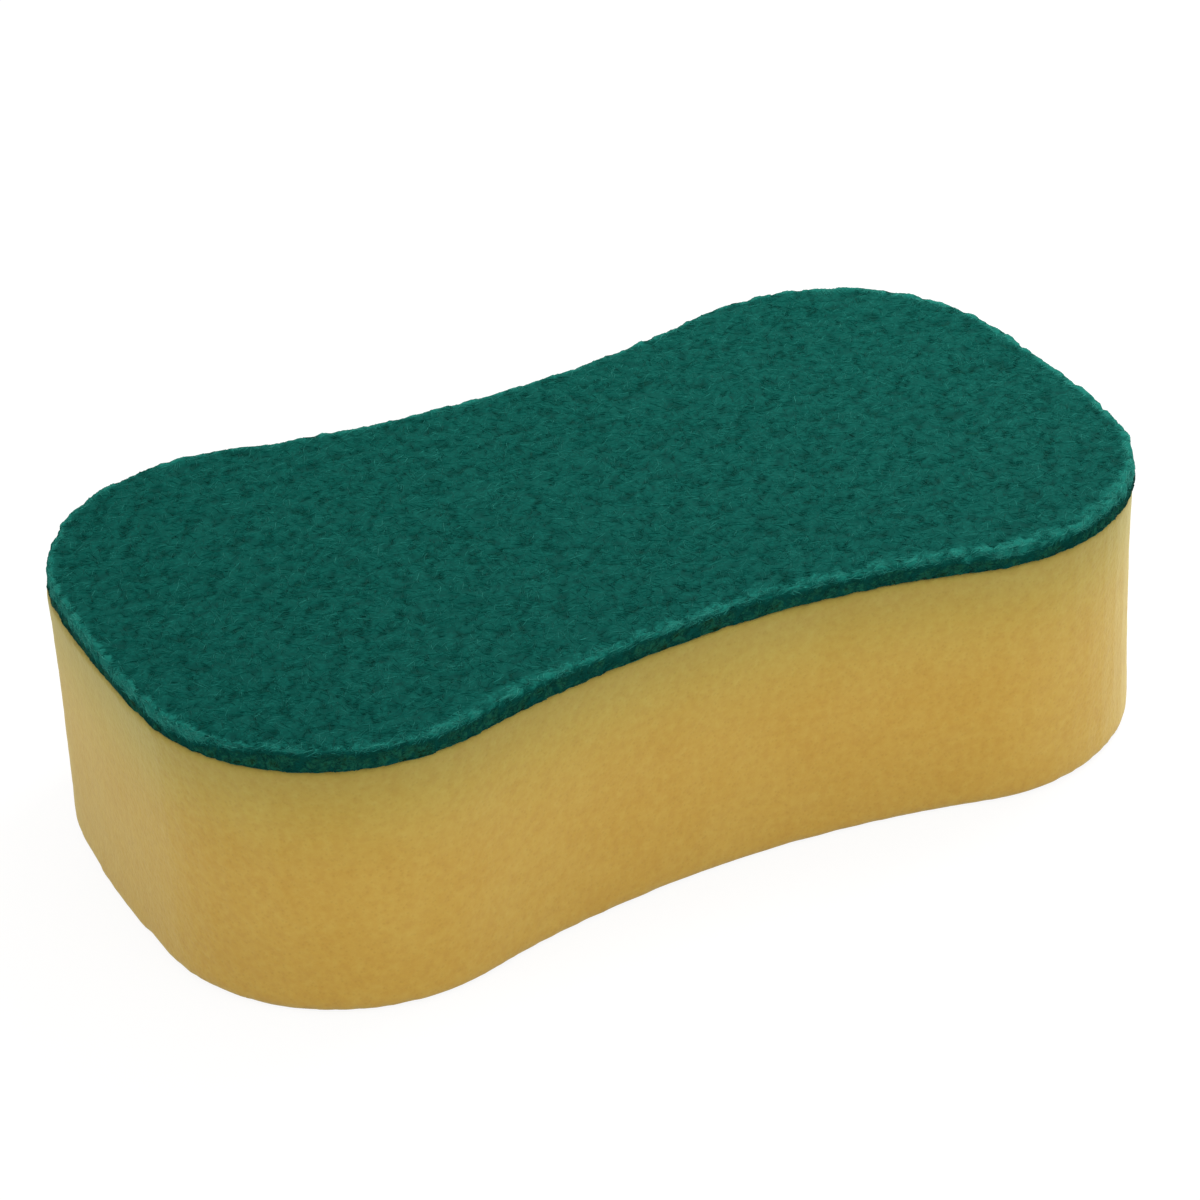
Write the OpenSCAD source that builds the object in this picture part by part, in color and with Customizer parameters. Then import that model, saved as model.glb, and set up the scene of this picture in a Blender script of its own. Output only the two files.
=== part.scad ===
// Cleaning sponge with a waist: a block of yellow foam with a green scouring pad bonded to its top.
// Both layers are cut with one hourglass die, so they share one plan outline.
// The origin is the middle of the foam's underside, +X runs along the sponge and +Z is up.

/* [Plan outline] */
// Length over the two ends
sponge_len = 200; // [170:1:240]
// Width across the lobes
lobe_w = 111; // [100:0.5:130]
// Width at the waist
waist_w = 93.5; // [70:0.5:97]
// Radius of the four corners
corner_r = 37.5; // [28:0.5:42]
// Radius of the slight bow across each end
end_r = 245; // [120:5:600]

/* [Foam block] */
// Height of the foam
foam_h = 51; // [20:0.5:80]
// Depth of the hollow in the wall, left because foam is squeezed while the die cuts it
wall_dish = 0.35; // [0:0.05:2]
// Radius of the soft edge round the underside
foot_edge_r = 0.9; // [0.2:0.1:4]

/* [Scouring pad] */
// Thickness of the pad
pad_t = 4; // [2.5:0.1:10]
// How far the pad's cut edge stands out past the foam
pad_overhang = 0.8; // [0:0.1:2]
// Radius of the worn upper edge, where the fibres are loose
pad_edge_r = 1.2; // [0.3:0.1:2]
// Depth of the notches that torn fibres leave in the cut edge
edge_notch = 0.5; // [0:0.05:1]
// Depth of the hollows between the fibre tufts on top
tuft_depth = 0.4; // [0:0.05:1]
// Distance from one tuft to the next
tuft_pitch = 3; // [2.8:0.1:8]

/* [Hidden] */

foam_yellow = "#c8a24c";
pad_green = "#16574b";

// Distance between two points of the foam's outline
foam_step = 5;
// Steps in the foam's soft lower edge, in its wall and in the pad's rounded upper edge
foot_steps = 3;
wall_steps = 6;
edge_steps = 3;
// Share of the pad's thickness over which its edge turns from cleanly bonded to torn
bonded_share = 0.3;
notch_seed = 7;
tuft_seed = 41;
// How far the foam's loft runs past the two faces at which it is then cut flat
spare = 1;

// A quarter of the outline is three arcs that run into one another: half of an end, a corner and
// half of a side of the waist. These are their centres, the waist's radius, and the directions in
// which one arc hands over to the next.
corner_y = lobe_w / 2 - corner_r;
end_x = sponge_len / 2 - end_r;
corner_x = end_x + sqrt(pow(end_r - corner_r, 2) - pow(corner_y, 2));
waist_r = (pow(corner_x, 2) + pow(waist_w / 2 - corner_y, 2) - pow(corner_r, 2)) / (lobe_w - waist_w);
waist_y = waist_w / 2 + waist_r;
end_turn = atan2(corner_y, corner_x - end_x);
waist_turn = atan2(waist_y - corner_y, -corner_x);

// Lengths along the quarter, which starts at the middle of an end
end_len = arc_len(end_r, end_turn);
corner_len = arc_len(corner_r, waist_turn - end_turn);
quarter_len = end_len + corner_len + arc_len(waist_r, waist_turn - 90);
corner_mid = end_len + corner_len / 2;

// The foam's wall from the underside up, as insets from the outline and heights
foam_wall = concat(
    [[foot_edge_r, -spare]],
    [for (i = [0:foot_steps - 1]) let (turn = 90 * i / foot_steps)
        foot_edge_r * [1 - sin(turn), 1 - cos(turn)]],
    [for (i = [0:wall_steps])
        [wall_dish * sin(180 * i / wall_steps), foot_edge_r + (foam_h - foot_edge_r) * i / wall_steps]],
    [[0, foam_h + spare]]
);

// The pad's edge from the bond up, as insets, heights above the bond, and how torn it is there
pad_wall = concat(
    [[0, 0, 0], [0, bonded_share * pad_t, 1]],
    [for (i = [0:edge_steps - 1]) let (turn = 90 * i / edge_steps)
        [pad_edge_r * (1 - cos(turn)), pad_t - pad_edge_r * (1 - sin(turn)), 1]]
);

function arc_len(r, turn) = r * turn * PI / 180;
function arc_turn(r, s) = s / r * 180 / PI;
function facing(turn) = [cos(turn), sin(turn)];

// A spot is a point of the outline and the direction in which the outline faces there. These give
// the spot at a distance s along each arc, and along the quarter.
function end_spot(s) = let (out = facing(arc_turn(end_r, s)))
    [[end_x, 0] + end_r * out, out];
function corner_spot(s) = let (out = facing(end_turn + arc_turn(corner_r, s)))
    [[corner_x, corner_y] + corner_r * out, out];
function waist_spot(s) = let (out = facing(waist_turn - arc_turn(waist_r, s)))
    [[0, waist_y] - waist_r * out, out];
function quarter_spot(s) =
    s < end_len ? end_spot(s) :
    s < end_len + corner_len ? corner_spot(s - end_len) :
    waist_spot(s - end_len - corner_len);

// The whole outline is two long sides and two tips, which meet in the middle of the corners. These
// give the spot at t from -1 to 1 along the side at +Y and the tip at +X.
function flipped(spot, x, y) = [for (part = spot) [part.x * x, part.y * y]];
function side_spot(t) =
    flipped(quarter_spot(quarter_len - abs(t) * (quarter_len - corner_mid)), t < 0 ? -1 : 1, 1);
function tip_spot(t) = flipped(quarter_spot(abs(t) * corner_mid), 1, t < 0 ? -1 : 1);
function side_steps(step) = 2 * ceil((quarter_len - corner_mid) / step);
function tip_steps(step) = 2 * ceil(corner_mid / step);

// The outline in m steps to a side and n to a tip, counterclockwise from its corner at -X and -Y
function outline(m, n) = [
    for (i = [0:m - 1]) flipped(side_spot(2 * i / m - 1), 1, -1),
    for (i = [0:n - 1]) tip_spot(2 * i / n - 1),
    for (i = [0:m - 1]) side_spot(1 - 2 * i / m),
    for (i = [0:n - 1]) flipped(tip_spot(1 - 2 * i / n), -1, 1)
];
function moved_in(spot, inset, z) = let (p = spot[0] - inset * spot[1]) [p.x, p.y, z];

// Triangles, clockwise seen from outside. A band joins ring r to the ring above it.
function halves(a, b, c, d) = [[a, b, c], [a, c, d]];
function turned_over(faces) = [for (face = faces) [face[2], face[1], face[0]]];
function band(r, count) = [for (i = [0:count - 1]) let (j = (i + 1) % count)
    each halves(r * count + i, (r + 1) * count + i, (r + 1) * count + j, r * count + j)];

// An underside over the ring whose first point is number first: strips run from side to side, and
// a fan closes each tip
function underside(first, m, n) = let (count = 2 * (m + n)) concat(
    [for (i = [0:m - 1]) let (far = first + 2 * m + n - i)
        each halves(first + i, first + i + 1, far - 1, far)],
    [for (i = [1:n - 1]) [first + m, first + m + i, first + m + i + 1]],
    [for (i = [1:n - 1]) let (tip = 2 * m + n)
        [first + tip, first + tip + i, first + (tip + i + 1) % count]]
);

module foam_block() {
    m = side_steps(foam_step);
    n = tip_steps(foam_step);
    spots = outline(m, n);
    count = len(spots);
    last = len(foam_wall) - 1;
    color(foam_yellow)
    intersection() {
        translate([-sponge_len, -lobe_w, 0])
        cube([2 * sponge_len, 2 * lobe_w, foam_h]);
        polyhedron(
            points = [for (step = foam_wall) each [for (spot = spots) moved_in(spot, step[0], step[1])]],
            faces = concat(
                underside(0, m, n),
                [for (r = [0:last - 1]) each band(r, count)],
                turned_over(underside(last * count, m, n))
            )
        );
    }
}

// The pad's top is a grid of tufts drawn across the outline: a point is placed by blending the two
// sides and the two tips
function blend(a, b, t) = a * (1 - t) + b * t;
function tuft_spot(rim, m, n, i, j) = let (
    across = blend(rim[i], rim[2 * m + n - i], j / n),
    along = blend(rim[(2 * m + 2 * n - j) % len(rim)], rim[m + j], i / m),
    corners = blend(blend(rim[0], rim[m], i / m), blend(rim[2 * m + n], rim[m + n], i / m), j / n)
) across + along - corners;

// The grid position, i along and j across, of point k of the outline
function rim_place(k, m, n) =
    k < m ? [k, 0] :
    k < m + n ? [m, k - m] :
    k < 2 * m + n ? [2 * m + n - k, n] :
    [0, 2 * m + 2 * n - k];

module scouring_pad() {
    m = side_steps(tuft_pitch);
    n = tip_steps(tuft_pitch);
    spots = outline(m, n);
    count = len(spots);
    notches = rands(0, edge_notch, count, notch_seed);
    hollows = rands(0, tuft_depth, (m + 1) * (n + 1), tuft_seed);
    top = foam_h + pad_t;

    // Points of the wall, ring by ring, and then of the grid, row by row
    wall = [for (step = pad_wall) each [for (k = [0:count - 1])
        moved_in(spots[k], step[0] - pad_overhang + step[2] * notches[k], foam_h + step[1])]];
    rim = [for (k = [0:count - 1]) moved_in(spots[k], pad_edge_r - pad_overhang + notches[k], top)];
    grid = [for (i = [0:m]) for (j = [0:n])
        tuft_spot(rim, m, n, i, j) - [0, 0, hollows[i * (n + 1) + j]]];

    last = len(pad_wall) - 1;
    function tuft(place) = len(wall) + place[0] * (n + 1) + place[1];
    function edge_tuft(k) = tuft(rim_place(k, m, n));

    color(pad_green)
    polyhedron(
        points = concat(wall, grid),
        faces = concat(
            underside(0, m, n),
            [for (r = [0:last - 1]) each band(r, count)],
            [for (k = [0:count - 1]) let (next = (k + 1) % count)
                each halves(last * count + k, edge_tuft(k), edge_tuft(next), last * count + next)],
            [for (i = [0:m - 1]) for (j = [0:n - 1])
                each halves(tuft([i, j]), tuft([i, j + 1]), tuft([i + 1, j + 1]), tuft([i + 1, j]))]
        )
    );
}

foam_block();
scouring_pad();
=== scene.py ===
import math

import bmesh
import bpy
import numpy as np
from mathutils import Matrix, Vector, noise
from mathutils.bvhtree import BVHTree


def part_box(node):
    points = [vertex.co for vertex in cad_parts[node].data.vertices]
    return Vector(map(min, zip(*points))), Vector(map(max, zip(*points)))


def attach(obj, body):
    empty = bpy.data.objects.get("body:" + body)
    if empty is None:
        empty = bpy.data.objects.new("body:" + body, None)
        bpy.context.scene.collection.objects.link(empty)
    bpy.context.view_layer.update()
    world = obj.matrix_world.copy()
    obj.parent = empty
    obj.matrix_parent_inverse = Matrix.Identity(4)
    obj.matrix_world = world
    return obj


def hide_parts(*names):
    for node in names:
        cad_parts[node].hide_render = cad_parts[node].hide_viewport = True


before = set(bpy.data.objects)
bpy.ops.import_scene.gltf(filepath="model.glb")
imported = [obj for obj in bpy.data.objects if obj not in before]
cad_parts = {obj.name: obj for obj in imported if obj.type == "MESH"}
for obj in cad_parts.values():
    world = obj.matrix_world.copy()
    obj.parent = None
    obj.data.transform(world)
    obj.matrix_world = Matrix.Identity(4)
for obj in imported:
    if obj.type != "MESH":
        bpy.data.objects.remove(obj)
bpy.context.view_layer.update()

# The origin is the middle of the foam's underside. +X runs along the sponge to the photograph's
# right, the front is at -Y and +Z is up. Places along X and Y are measured from that middle.
MM = 0.001

# Two points of a solid that are closer than this are one
SAME_POINT = 0.001 * MM

# The steps from one seed's unevenness to the next
SEED_STEPS = (17.3, 5.7, 11.9)


# Tools for shapes

def new_object(name, data):
    piece = bpy.data.objects.new(name, data)
    bpy.context.scene.collection.objects.link(piece)
    return piece


def finished_mesh(piece):
    """What the piece's modifiers make, as a mesh of its own"""
    graph = bpy.context.evaluated_depsgraph_get()
    return bpy.data.meshes.new_from_object(piece.evaluated_get(graph))


def softened_copy(node, name, face_size):
    """A copy of a CAD node's solid, made again from even faces that are fine enough to shape"""
    piece = new_object(name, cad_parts[node].data.copy())
    shape = bmesh.new()
    shape.from_mesh(piece.data)
    bmesh.ops.remove_doubles(shape, verts=shape.verts, dist=SAME_POINT)
    shape.to_mesh(piece.data)
    shape.free()
    remesh = piece.modifiers.new("even faces", "REMESH")
    remesh.mode = "VOXEL"
    remesh.voxel_size = face_size
    piece.data = finished_mesh(piece)
    piece.modifiers.clear()
    piece.data.materials.clear()
    piece.data.shade_smooth()
    return piece


def places_and_facings(mesh):
    """The mesh's vertices and their normals"""
    places = np.empty(len(mesh.vertices) * 3)
    facings = np.empty(len(mesh.vertices) * 3)
    mesh.vertices.foreach_get("co", places)
    mesh.vertices.foreach_get("normal", facings)
    return places.reshape(-1, 3), facings.reshape(-1, 3)


def move_vertices(mesh, places):
    mesh.vertices.foreach_set("co", places.ravel())
    mesh.update()


def paint(mesh, name, values):
    """Gives each vertex a number that the material reads"""
    layer = mesh.attributes.new(name, "FLOAT", "POINT")
    layer.data.foreach_set("value", values.astype(np.float32))


def tree_of(mesh, faces):
    """A tree in which the nearest spot on these faces of the mesh is quickly found"""
    return BVHTree.FromPolygons([corner.co for corner in mesh.vertices],
                                [face.vertices[:] for face in faces])


def waver(places, size, seed):
    """Smooth unevenness from -1 to 1, in lumps about size across"""
    shift = Vector([seed * step for step in SEED_STEPS])
    return np.array([noise.noise(Vector(place) / size + shift) for place in places])


def layered(places, layers):
    """The sum of several wavers, each given as its strength, the size of its lumps and its seed"""
    return sum(strength * waver(places, size, seed) for strength, size, seed in layers)


def smooth_step(values, low, high):
    """0 up to low, 1 from high on, and an even curve between them"""
    t = np.clip((values - low) / (high - low), 0, 1)
    return t * t * (3 - 2 * t)


# Tools for materials

def linear(hex_colour):
    """An sRGB hex colour as the linear values that Blender's sockets take"""
    parts = [int(hex_colour[i:i + 2], 16) / 255 for i in (1, 3, 5)]
    return [p / 12.92 if p <= 0.04045 else ((p + 0.055) / 1.055) ** 2.4 for p in parts] + [1]


def new_material(name):
    made = bpy.data.materials.new(name)
    made.use_nodes = True
    made.node_tree.nodes.clear()
    return made


def add(made, kind, sockets=None, **settings):
    """Adds a node. A socket is given a value, or another node's output to link to."""
    node = made.node_tree.nodes.new(kind)
    for name, value in settings.items():
        setattr(node, name, value)
    for name, value in (sockets or {}).items():
        if isinstance(value, bpy.types.NodeSocket):
            made.node_tree.links.new(value, node.inputs[name])
        else:
            node.inputs[name].default_value = value
    return node


def colour_steps(node, steps):
    """Sets a colour ramp's stops from (position, hex colour) pairs"""
    ramp = node.color_ramp
    while len(ramp.elements) > 1:
        ramp.elements.remove(ramp.elements[-1])
    ramp.elements[0].position = steps[0][0]
    ramp.elements[0].color = linear(steps[0][1])
    for position, colour in steps[1:]:
        ramp.elements.new(position).color = linear(colour)


def sees_white(made):
    """1 for the rays to which the floor and the room are plain white: the camera's own, and those
    that come by a reflection or through glass"""
    path = add(made, "ShaderNodeLightPath")
    direct = add(made, "ShaderNodeMath", {0: path.outputs["Is Camera Ray"],
                                          1: path.outputs["Is Glossy Ray"]}, operation="MAXIMUM")
    seen = add(made, "ShaderNodeMath", {0: direct.outputs["Value"],
                                        1: path.outputs["Is Transmission Ray"]}, operation="MAXIMUM")
    return seen.outputs["Value"]


# Foam block

FOAM_FACE = 0.95 * MM

# The lower edge is smoothed this far up and this often
FOOT_HEIGHT = 2.5 * MM
FOOT_SMOOTHINGS = 4

# Layers of lumps in the wall. A face counts as wall up to the first of these tilts, which are the
# upward part of its normal, and less and less up to the second.
WALL_LUMPS = [(0.22 * MM, 24 * MM, 1), (0.07 * MM, 4.5 * MM, 2), (0.05 * MM, 1.6 * MM, 3)]
WALL_TILT = (0.6, 0.95)

# How broad the patches of tone, the grain and the cells are. Real cells are 0.3 to 0.5 mm, and are
# drawn about twice as wide so that they show.
FOAM_TONE = 14 * MM
FOAM_GRAIN = 1.6 * MM
FOAM_CELL = 0.9 * MM
FOAM_CELL_DEPTH = 0.25 * MM

# How far below the bond the foam starts to turn darker and greener: painted shade under the pad
# and a painted green reflection of it, with a little stain from the pad's resin
RESIN_AND_SHADE_REACH = 30 * MM


def cut_polyurethane_foam(top):
    """Open-cell polyurethane foam, cut with a die. The cut leaves the cells open, so it is matte
    with a fine grain, and the stubs of the cell walls make it paler where it is seen edge-on.
    The cells' hollows are painted darker, as painted shade. Towards the bond it is darker and
    greener: painted shade under the pad and a painted green reflection of it, with a little stain
    from the pad's resin."""
    made = new_material("cut_polyurethane_foam")
    place = add(made, "ShaderNodeTexCoord").outputs["Object"]
    tone = add(made, "ShaderNodeTexNoise", {"Vector": place, "Scale": 1 / FOAM_TONE, "Detail": 2.0})
    drift = add(made, "ShaderNodeValToRGB", {"Fac": tone.outputs["Fac"]})
    colour_steps(drift, [(0.35, "#bf973e"), (0.65, "#c39f48")])
    grain = add(made, "ShaderNodeTexNoise", {"Vector": place, "Scale": 1 / FOAM_GRAIN, "Detail": 3.0,
                                             "Roughness": 0.6})
    body = add(made, "ShaderNodeValToRGB", {"Fac": grain.outputs["Fac"]})
    colour_steps(body, [(0.30, "#ba8d3b"), (0.5, "#c29a42"), (0.72, "#c8a64d")])
    toned = add(made, "ShaderNodeMix", {"Factor": 0.5, "A": body.outputs["Color"],
                                        "B": drift.outputs["Color"]}, data_type="RGBA")
    cells = add(made, "ShaderNodeTexVoronoi", {"Vector": place, "Scale": 1 / FOAM_CELL})
    # The cells' hollows are painted darker: painted shade in the open cells
    pore_shade = add(made, "ShaderNodeMapRange", {"Value": cells.outputs["Distance"], "From Min": 0.0,
                                             "From Max": 0.35, "To Min": 0.3, "To Max": 0.0})
    pore_shaded = add(made, "ShaderNodeMix", {"Factor": pore_shade.outputs["Result"], "B": linear("#a27c30"),
                                        "A": toned.outputs["Result"]}, data_type="RGBA")
    # Darker and greener towards the bond: painted shade and a painted green reflection from the pad,
    # with a little stain from its resin
    height = add(made, "ShaderNodeSeparateXYZ", {"Vector": place}).outputs["Z"]
    nearness = add(made, "ShaderNodeMapRange", {"Value": height, "From Min": top - RESIN_AND_SHADE_REACH,
                                                "From Max": top})
    resin = add(made, "ShaderNodeValToRGB", {"Fac": nearness.outputs["Result"]})
    colour_steps(resin, [(0.0, "#ffffff"), (0.25, "#fdfeff"), (0.5, "#f7fdff"), (0.7, "#edfaff"),
                         (0.82, "#e4f4ff"), (0.92, "#dceeff"), (1.0, "#cde4f0")])
    stained_and_shaded = add(made, "ShaderNodeMix", {"Factor": 1.0, "A": pore_shaded.outputs["Result"],
                                          "B": resin.outputs["Color"]},
                  data_type="RGBA", blend_type="MULTIPLY")
    bump = add(made, "ShaderNodeBump", {"Height": cells.outputs["Distance"], "Strength": 0.24,
                                        "Distance": FOAM_CELL_DEPTH})
    surface = add(made, "ShaderNodeBsdfPrincipled", {
        "Base Color": stained_and_shaded.outputs["Result"], "Roughness": 0.95, "IOR": 1.45,
        "Specular IOR Level": 0.1, "Sheen Weight": 0.48, "Sheen Roughness": 0.52,
        "Sheen Tint": linear("#e8f2cd"), "Normal": bump.outputs["Normal"]})
    add(made, "ShaderNodeOutputMaterial", {"Surface": surface.outputs["BSDF"]})
    return made


def even_out_foot(mesh):
    """Takes out the small steps that the even faces leave along the foam's lower edge"""
    shape = bmesh.new()
    shape.from_mesh(mesh)
    foot = [corner for corner in shape.verts if corner.co.z < FOOT_HEIGHT]
    for _ in range(FOOT_SMOOTHINGS):
        bmesh.ops.smooth_vert(shape, verts=foot, factor=0.5,
                              use_axis_x=True, use_axis_y=True, use_axis_z=True)
    shape.to_mesh(mesh)
    shape.free()


def foam_block():
    """The foam's walls are a little uneven, because the block gives way while the die cuts it"""
    piece = softened_copy("foam_block", "foam_block_cut", FOAM_FACE)
    even_out_foot(piece.data)
    places, facings = places_and_facings(piece.data)
    on_wall = 1 - smooth_step(np.abs(facings[:, 2]), *WALL_TILT)
    places += facings * (layered(places, WALL_LUMPS) * on_wall)[:, None]
    move_vertices(piece.data, places)
    piece.data.materials.append(cut_polyurethane_foam(places[:, 2].max()))
    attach(piece, "root")
    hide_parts("foam_block")


# Scouring pad

PAD_FACE = 0.72 * MM

# Heights of the pad's underside and of the tips of its tufts
PAD_UNDERSIDE, TUFT_TIPS = (corner.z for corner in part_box("scouring_pad"))

# The cut is cleanest round one spot of the left lobe, worse round one of the right lobe, and worst
# at the two ends, and the more ragged it is, the further down over the cut side the rim's painted
# highlight reaches. What grows is full from its second distance on, and what fades is gone there.
CLEAN_CUT = (-80 * MM, -51 * MM)
CLEAN_CUT_FADES = (5 * MM, 25 * MM)
RAGGED_CUT = (85 * MM, -45 * MM)
RAGGED_CUT_FADES = (30 * MM, 50 * MM)
LEFT_END_GROWS = (90 * MM, 98 * MM)
RIGHT_END_GROWS = (80 * MM, 98 * MM)

# How ragged that makes the cut, and so how far down the rim's painted highlight reaches
USUAL_RAGGEDNESS = 0.27
RAGGED_CUT_RAGGEDNESS = 0.4
LEFT_END_RAGGEDNESS = 0.65
RIGHT_END_RAGGEDNESS = 1.25

# How far the rim's fibres, and with them its painted highlight, hang over a clean cut, how much
# further over a ragged one, and half the height over which the rim's painted highlight gives way to
# the cut side's painted shade
CLEAN_HANG = 0.5 * MM
RAGGED_HANG = 2.0 * MM
HANG_FADE = 0.5 * MM

# How far in from the edge the rim's painted highlight is full and how far in it ends, how much
# further that is in the front between the two ends, and where the cut side's painted shade fades
RIM_FULL = 1.2 * MM
RIM_BREADTH = 2.3 * MM
FRONT_RIM_MORE = 2.2 * MM
FRONT_GROWS = (20 * MM, 40 * MM)
BETWEEN_ENDS_FADES = (80 * MM, 93 * MM)
CUT_SIDE_FADES = (0.5 * MM, 1.4 * MM)

# How strong the rim's painted highlight is along a clean cut
CLEAN_RIM_HIGHLIGHT = 0.6

# A face of the solid belongs to its cut edge if its normal has less tilt, up or down, than this
CUT_EDGE_TILT = 0.5

# How far the pad is trimmed at both ends and in the waist's front
LEFT_TRIM = 0.8 * MM
RIGHT_TRIM = 0.4 * MM
END_TRIM_GROWS = (70 * MM, 98 * MM)
WAIST_TRIM = 0.8 * MM
WAIST_TRIM_MIDDLE = 18 * MM
WAIST_TRIM_FADES = (12 * MM, 38 * MM)
FRONT_TRIM_GROWS = (30 * MM, 44 * MM)

# Relief: layers of unevenness and between which of their sums a pit grows to its depth, the tufts
# along the edge, how far the web lies below the fibres' level, and how far its cut side is drawn
# in. Between these tilts a face turns from cut side to top, and downwards to bonded underside.
PITS = [(0.7, 1.1 * MM, 5), (0.8, 2.8 * MM, 6)]
PITS_GROW = (-0.15, 0.75)
PIT_DEPTH = 0.22 * MM
SMALL_TUFT = 1.8 * MM
SMALL_TUFT_RISE = 0.4 * MM
BROAD_TUFT = 5 * MM
BROAD_TUFT_RISE = 0.28 * MM
BELOW_FIBRES = 0.05 * MM
CUT_DRAWN_IN = 0.25 * MM
TOP_TILT = (0.3, 0.8)

# Lightness from 0 to 1: the top's, how much darker its pits are as painted shade, how much lighter
# the rim is as a painted highlight and how its tufts vary that, and the patches and the painted
# shade of the cut side
TOP_LIGHTNESS = 0.59
PIT_SHADE = 0.26
RIM_HIGHLIGHT = 0.25
RIM_TUFT_HIGHLIGHT = 0.6
CUT_PATCHES = [(0.24, 2.2 * MM, 10), (0.26, 1.1 * MM, 12)]
CUT_SHADE = 0.34

# Real grit is finer than 0.1 mm, and is drawn this coarse so that it shows
GRIT = 0.5 * MM
GRIT_HEIGHT = 0.2 * MM


def coated_fibre_web():
    """The heart of the scouring pad: nylon fibres glued with a green resin that holds abrasive
    grit. Its colours are darker than the loose fibres', as painted shade where it is seen between
    them on top, and darkest and a little olive on the cut side, as painted shade in its hollows."""
    made = new_material("coated_fibre_web")
    place = add(made, "ShaderNodeTexCoord").outputs["Object"]
    lightness = add(made, "ShaderNodeAttribute", attribute_name="lightness").outputs["Fac"]
    grit = add(made, "ShaderNodeTexNoise", {"Vector": place, "Scale": 1 / GRIT, "Detail": 2.0})
    mixed = add(made, "ShaderNodeMath", {0: grit.outputs["Fac"], 1: 0.45, 2: lightness},
                operation="MULTIPLY_ADD")
    shade = add(made, "ShaderNodeValToRGB", {"Fac": mixed.outputs["Value"]})
    colour_steps(shade, [(0.22, "#0c2a16"), (0.41, "#145240"), (0.5, "#033a32"),
                         (0.62, "#023f38"), (0.8, "#034940"), (0.92, "#0a574d"),
                         (1.0, "#15695d")])
    bump = add(made, "ShaderNodeBump", {"Height": grit.outputs["Fac"], "Strength": 0.3,
                                        "Distance": GRIT_HEIGHT})
    surface = add(made, "ShaderNodeBsdfPrincipled", {
        "Base Color": shade.outputs["Color"], "Roughness": 0.8, "IOR": 1.5,
        "Specular IOR Level": 0.04, "Normal": bump.outputs["Normal"]})
    add(made, "ShaderNodeOutputMaterial", {"Surface": surface.outputs["BSDF"]})
    return made


def distances_from_edge(places):
    """How far in from the solid's cut edge each place lies, seen from above"""
    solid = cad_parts["scouring_pad"].data
    edge = tree_of(solid, [face for face in solid.polygons if abs(face.normal.z) < CUT_EDGE_TILT])
    middle = (PAD_UNDERSIDE + TUFT_TIPS) / 2
    return np.array([edge.find_nearest(Vector((x, y, middle)))[3] for x, y, _ in places])


def far_from(spot, places, fades):
    """0 round the spot, and 1 away from it"""
    return smooth_step(np.hypot(*(places[:, :2] - spot).T), *fades)


def raggedness_and_highlight_of(places):
    """How ragged the pad's cut is at each place, and so how far down over the cut side the rim's
    painted highlight reaches. 0 is a clean cut.
    """
    off_clean_cut = far_from(CLEAN_CUT, places, CLEAN_CUT_FADES)
    at_ragged_cut = 1 - far_from(RAGGED_CUT, places, RAGGED_CUT_FADES)
    at_left_end = smooth_step(-places[:, 0], *LEFT_END_GROWS)
    at_right_end = smooth_step(places[:, 0], *RIGHT_END_GROWS)
    return (USUAL_RAGGEDNESS * off_clean_cut
            + np.maximum(RAGGED_CUT_RAGGEDNESS * at_ragged_cut, LEFT_END_RAGGEDNESS * at_left_end)
            + RIGHT_END_RAGGEDNESS * at_right_end)


def edge_shares(places):
    """How far each place belongs to the pad's rim, which is painted lighter as a painted highlight,
    and to its cut side, which is painted darker as painted shade. The loose fibres of the rim hang
    down over the cut, furthest where it is most ragged, and the painted highlight goes down with
    them; it is broadest along the front."""
    inward = distances_from_edge(places)
    raggedness_and_highlight = raggedness_and_highlight_of(places)
    hang = CLEAN_HANG + RAGGED_HANG * raggedness_and_highlight
    down = smooth_step(TUFT_TIPS - places[:, 2] - hang, -HANG_FADE, HANG_FADE)
    in_front = smooth_step(-places[:, 1], *FRONT_GROWS)
    between_ends = 1 - smooth_step(np.abs(places[:, 0]), *BETWEEN_ENDS_FADES)
    breadth = RIM_BREADTH + FRONT_RIM_MORE * in_front * between_ends
    strength = CLEAN_RIM_HIGHLIGHT + (1 - CLEAN_RIM_HIGHLIGHT) * np.minimum(raggedness_and_highlight, 1)
    rim = (1 - smooth_step(inward, RIM_FULL, breadth)) * (1 - down) * strength
    side = (1 - smooth_step(inward, *CUT_SIDE_FADES)) * down
    return rim, side


def trimmed(places):
    """The pad is trimmed nearly flush with the foam at both ends and in the waist's front"""
    moved = places.copy()
    moved[:, 0] += LEFT_TRIM * smooth_step(-places[:, 0], *END_TRIM_GROWS)
    moved[:, 0] -= RIGHT_TRIM * smooth_step(places[:, 0], *END_TRIM_GROWS)
    in_waist = 1 - smooth_step(np.abs(places[:, 0] - WAIST_TRIM_MIDDLE), *WAIST_TRIM_FADES)
    in_front = smooth_step(-places[:, 1], *FRONT_TRIM_GROWS)
    moved[:, 1] += WAIST_TRIM * in_waist * in_front
    return moved


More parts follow.
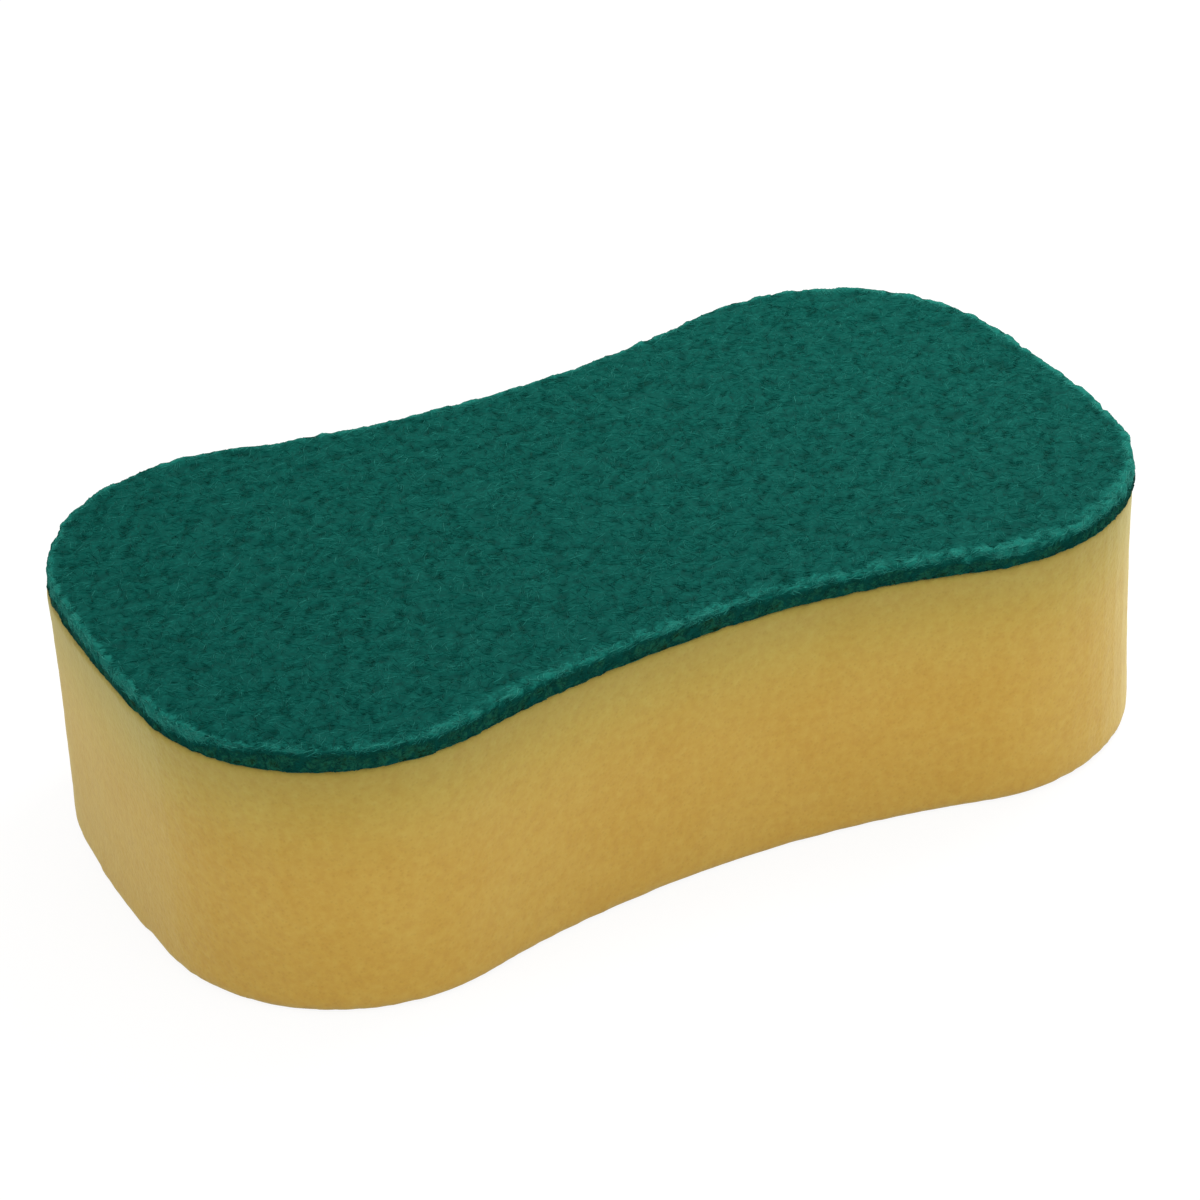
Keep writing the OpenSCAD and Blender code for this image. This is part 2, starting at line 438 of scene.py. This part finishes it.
def scouring_pad():
    """The web under its loose fibres: a pitted top, and a torn edge with tufts. Returns its mesh,
    which the fibres are laid on."""
    piece = softened_copy("scouring_pad", "scouring_pad_web", PAD_FACE)
    web = piece.data
    places, facings = places_and_facings(web)
    pits = smooth_step(layered(places, PITS), *PITS_GROW)
    rim, side = edge_shares(places)
    small_tufts = waver(places, SMALL_TUFT, seed=9)
    broad_tufts = waver(places, BROAD_TUFT, seed=11)
    tufts = (rim + side) * (SMALL_TUFT_RISE * small_tufts + BROAD_TUFT_RISE * broad_tufts)
    cut = 1 - smooth_step(facings[:, 2], *TOP_TILT)
    bonded = smooth_step(-facings[:, 2], *TOP_TILT)
    out = (tufts - BELOW_FIBRES - PIT_DEPTH * pits - CUT_DRAWN_IN * cut) * (1 - bonded)
    # The rim is painted lighter: a painted highlight
    painted_rim_highlight = RIM_HIGHLIGHT * rim * (1 + RIM_TUFT_HIGHLIGHT * small_tufts)
    # The cut side is painted darker, in patches: painted shade in its hollows
    painted_cut_shade = side * (layered(places, CUT_PATCHES) - CUT_SHADE)
    move_vertices(web, trimmed(places + facings * out[:, None]))
    # Its pits are painted darker, as painted shade, except on the cut side
    paint(web, "lightness", TOP_LIGHTNESS - PIT_SHADE * pits * (1 - side) + painted_rim_highlight + painted_cut_shade)
    web.materials.append(coated_fibre_web())
    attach(piece, "root")
    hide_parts("scouring_pad")
    return web


# Loose fibres. Real ones are about 0.1 mm thick, and are drawn twice as thick so that they show.

FIBRE_PIECES = 3
FIBRES_A_PIECE = 9300
FIBRE_SEED = 100
FIBRE_THICKNESS = 0.22 * MM
FIBRE_LENGTH = (1.6 * MM, 4.2 * MM)
FIBRE_POINTS = 4

# A fibre's ends are this share of its thickness
FIBRE_END = 0.45

# Fibres start where the web's normal has more tilt than the first of these, and the more often the
# further its tilt is below the second
FIBRE_TILT = -0.5
FIBRE_CROWDING = 2

# How a fibre lies: how deep its ends sink into the web, how high it arches between them, how
# steeply it may start, and how far it turns at each point, in radians: a bend that is the same
# along a fibre, and one that isn't
FIBRE_SUNK = 0.04 * MM
FIBRE_ARCH = (0.02 * MM, 0.1 * MM)
FIBRE_CLIMB = 0.3
FIBRE_BEND = 0.2
FIBRE_WANDER = 0.15

# A fibre that heads straight into the web has less than this left along it
NO_HEADING = 1e-6

# How much lighter than the web the fibres are, and how much they differ from one another
FIBRE_LIGHTER = 0.04
FIBRE_SPREAD = 0.06


def coated_nylon_fibre():
    """Single fibres of the web. The resin coat is matte, and each fibre took up a little more or
    less of the green."""
    made = new_material("coated_nylon_fibre")
    lightness = add(made, "ShaderNodeAttribute", attribute_name="lightness").outputs["Fac"]
    shade = add(made, "ShaderNodeValToRGB", {"Fac": lightness})
    colour_steps(shade, [(0.0, "#0c2a16"), (0.2, "#165443"), (0.3, "#043e34"), (0.42, "#03453b"),
                         (0.6, "#034f46"), (1.0, "#348e80")])
    surface = add(made, "ShaderNodeBsdfPrincipled", {
        "Base Color": shade.outputs["Color"], "Roughness": 0.8, "IOR": 1.5,
        "Specular IOR Level": 0.05, "Sheen Weight": 0.08, "Sheen Roughness": 0.3,
        "Sheen Tint": linear("#8fd8cc")})
    add(made, "ShaderNodeOutputMaterial", {"Surface": surface.outputs["BSDF"]})
    return made


def fibre_path(tree, start, heading, length, dice):
    """A path that wanders over the web: its points, which way the web faces at each of them, and
    over which of the web's faces each lies"""
    last = FIBRE_POINTS - 1
    bend = dice.normal(0, FIBRE_BEND)
    arch = dice.uniform(*FIBRE_ARCH)
    way = Vector((math.cos(heading), math.sin(heading), dice.normal(0, FIBRE_CLIMB)))
    spot = Vector(start)
    points = []
    facings = []
    faces = []
    for j in range(FIBRE_POINTS):
        near, facing, face, _ = tree.find_nearest(spot)
        rise = arch * math.sin(math.pi * j / last) - FIBRE_SUNK
        points.append(near + facing * rise)
        facings.append(facing)
        faces.append(face)
        way = way - facing * way.dot(facing)
        if way.length < NO_HEADING:
            way = facing.orthogonal()
        way.normalize()
        way = Matrix.Rotation(bend + dice.normal(0, FIBRE_WANDER), 3, facing) @ way
        spot = near + way * (length / last)
    return points, facings, faces


def fibre_paths(web, tree, dice):
    """The paths of one tangle of fibres, as arrays of their points, facings and faces"""
    places, facings = places_and_facings(web)
    tilts = facings[:, 2]
    crowding = np.where(tilts > FIBRE_TILT, FIBRE_CROWDING - tilts, 0)
    starts = places[dice.choice(len(places), FIBRES_A_PIECE, p=crowding / crowding.sum())]
    starts += dice.uniform(-0.5, 0.5, starts.shape) * PAD_FACE
    headings = dice.uniform(0, 2 * math.pi, FIBRES_A_PIECE)
    lengths = dice.uniform(*FIBRE_LENGTH, FIBRES_A_PIECE)
    paths = [fibre_path(tree, *fibre, dice) for fibre in zip(starts, headings, lengths)]
    return [np.array(part) for part in zip(*paths)]


def straight_fibre():
    """A three-sided rod of unit radius, closed at both ends, with a ring for each point of a path"""
    shape = bmesh.new()
    bmesh.ops.create_cone(shape, cap_ends=True, segments=3, radius1=1, radius2=1,
                          depth=FIBRE_POINTS - 1)
    long_edges = [edge for edge in shape.edges if edge.verts[0].co.z * edge.verts[1].co.z < 0]
    bmesh.ops.subdivide_edges(shape, edges=long_edges, cuts=FIBRE_POINTS - 2)
    bmesh.ops.translate(shape, verts=shape.verts, vec=(0, 0, (FIBRE_POINTS - 1) / 2))
    mesh = bpy.data.meshes.new("straight_fibre")
    shape.to_mesh(mesh)
    shape.free()
    return mesh


def bent_fibres(name, paths, facings):
    """One rod for each path, bent along it. Returns the piece, and the ring of each vertex."""
    piece = new_object(name, straight_fibre())
    rod, _ = places_and_facings(piece.data)
    ring = np.rint(rod[:, 2]).astype(int)
    copies = piece.modifiers.new("one rod for each path", "ARRAY")
    copies.count = len(paths)
    copies.use_relative_offset = False
    piece.data = finished_mesh(piece)
    piece.modifiers.clear()
    along = np.gradient(paths, axis=1)
    along /= np.linalg.norm(along, axis=2)[:, :, None]
    across = np.cross(along, facings)
    across /= np.linalg.norm(across, axis=2)[:, :, None]
    upright = np.cross(across, along)
    radius = np.full(FIBRE_POINTS, FIBRE_THICKNESS / 2)
    radius[[0, -1]] *= FIBRE_END
    outward = rod[:, 0:1] * across[:, ring] + rod[:, 1:2] * upright[:, ring]
    move_vertices(piece.data, paths[:, ring] + radius[ring, None] * outward)
    return piece, ring


def scouring_fibres(number, web, tree, material):
    """One tangle of loose fibres on the web. Each takes the web's lightness where it lies, with its
    painted highlight and painted shade, and is a little lighter or darker than that."""
    dice = np.random.default_rng(FIBRE_SEED + number)
    paths, facings, faces = fibre_paths(web, tree, dice)
    piece, ring = bent_fibres(f"scouring_fibres_{number}", paths, facings)
    painted = np.empty(len(web.vertices))
    web.attributes["lightness"].data.foreach_get("value", painted)
    corner = np.array([face.vertices[0] for face in web.polygons])
    lighter = dice.normal(FIBRE_LIGHTER, FIBRE_SPREAD, FIBRES_A_PIECE)[:, None]
    lightness = painted[corner[faces]] + lighter
    paint(piece.data, "lightness", np.clip(lightness[:, ring], 0, 1).ravel())
    piece.data.materials.append(material)
    piece.data.shade_smooth()
    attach(piece, "root")


# Studio, in metres and watts

# The camera, solved from the sponge's own outline: where it looks, how far off it stands, and how
# its picture is turned
CAMERA_TARGET = Vector((0.0237, 0.0479, 0.0005))
CAMERA_DISTANCE = 0.8331
CAMERA_AZIMUTH = math.radians(-26.367)
CAMERA_ELEVATION = math.radians(31.254)
CAMERA_ROLL = math.radians(-2.715)
CAMERA_LENS_MM = 123.39
CAMERA_SENSOR_MM = 36
CAMERA_NEAREST = 0.05

# How far the floor reaches from the origin, the strength of the room's even light, and the spot
# that the lamps face
FLOOR_REACH = 4
ROOM_LIGHT = 1.06
LAMP_AIM = Vector((0, 0, 0.03))


def photograph_camera():
    """The photograph's viewpoint"""
    flat = math.cos(CAMERA_ELEVATION)
    back = Vector((math.sin(CAMERA_AZIMUTH) * flat, -math.cos(CAMERA_AZIMUTH) * flat,
                   math.sin(CAMERA_ELEVATION)))
    level = Vector((math.cos(CAMERA_AZIMUTH), math.sin(CAMERA_AZIMUTH), 0))
    right = Matrix.Rotation(CAMERA_ROLL, 3, back) @ level
    up = back.cross(right)
    lens = bpy.data.cameras.new("photograph_camera")
    lens.lens = CAMERA_LENS_MM
    lens.sensor_width = CAMERA_SENSOR_MM
    lens.clip_start = CAMERA_NEAREST
    holder = new_object("photograph_camera", lens)
    turn = Matrix((right, up, back)).transposed().to_4x4()
    holder.matrix_world = Matrix.Translation(CAMERA_TARGET + back * CAMERA_DISTANCE) @ turn
    bpy.context.scene.camera = holder


def white_room():
    """An even white room. The camera sees it at plain white, whatever light it gives."""
    world = bpy.data.worlds.new("white_room")
    world.use_nodes = True
    world.node_tree.nodes.clear()
    level = add(world, "ShaderNodeMapRange", {"Value": sees_white(world), "To Min": ROOM_LIGHT,
                                              "To Max": 1.0})
    white = add(world, "ShaderNodeBackground", {"Strength": level.outputs["Result"]})
    add(world, "ShaderNodeOutputWorld", {"Surface": white.outputs["Background"]})
    bpy.context.scene.world = world


def white_studio_floor():
    """Seamless white paper. The camera sees it lit to white but for the sponge's soft shadow."""
    made = new_material("white_studio_floor")
    paper = add(made, "ShaderNodeBsdfDiffuse", {"Color": linear("#e6e6e6")})
    thin_paper = add(made, "ShaderNodeBsdfDiffuse", {"Color": linear("#6c6c6c")})
    glow = add(made, "ShaderNodeEmission", {"Color": linear("#ffffff"), "Strength": 0.88})
    white = add(made, "ShaderNodeAddShader", {0: thin_paper.outputs["BSDF"],
                                              1: glow.outputs["Emission"]})
    surface = add(made, "ShaderNodeMixShader", {"Fac": sees_white(made), 1: paper.outputs["BSDF"],
                                                2: white.outputs["Shader"]})
    add(made, "ShaderNodeOutputMaterial", {"Surface": surface.outputs["Shader"]})
    return made


def studio_floor():
    shape = bmesh.new()
    bmesh.ops.create_grid(shape, x_segments=1, y_segments=1, size=FLOOR_REACH)
    mesh = bpy.data.meshes.new("studio_floor")
    shape.to_mesh(mesh)
    shape.free()
    mesh.materials.append(white_studio_floor())
    new_object("studio_floor", mesh)


def lamp(name, place, width, watts):
    """A soft square lamp that faces the sponge"""
    light = bpy.data.lights.new(name, "AREA")
    light.size = width
    light.energy = watts
    holder = new_object(name, light)
    holder.location = place
    holder.rotation_mode = "QUATERNION"
    holder.rotation_quaternion = (Vector(place) - LAMP_AIM).to_track_quat("Z", "Y")


# The scene

bpy.context.scene.view_settings.view_transform = "Standard"
photograph_camera()
white_room()
studio_floor()
lamp("lamp_over_right_lobe", place=(0.23, 0.09, 0.38), width=0.25, watts=1.3)
lamp("lamp_at_left", place=(-1.0, -0.3, 0.5), width=0.8, watts=0.8)
lamp("lamp_in_front", place=(0.5, -1.05, 0.5), width=0.8, watts=1.7)

foam_block()
pad_web = scouring_pad()
web_tree = tree_of(pad_web, pad_web.polygons)
fibre_material = coated_nylon_fibre()
for fibre_number in range(1, FIBRE_PIECES + 1):
    scouring_fibres(fibre_number, pad_web, web_tree, fibre_material)
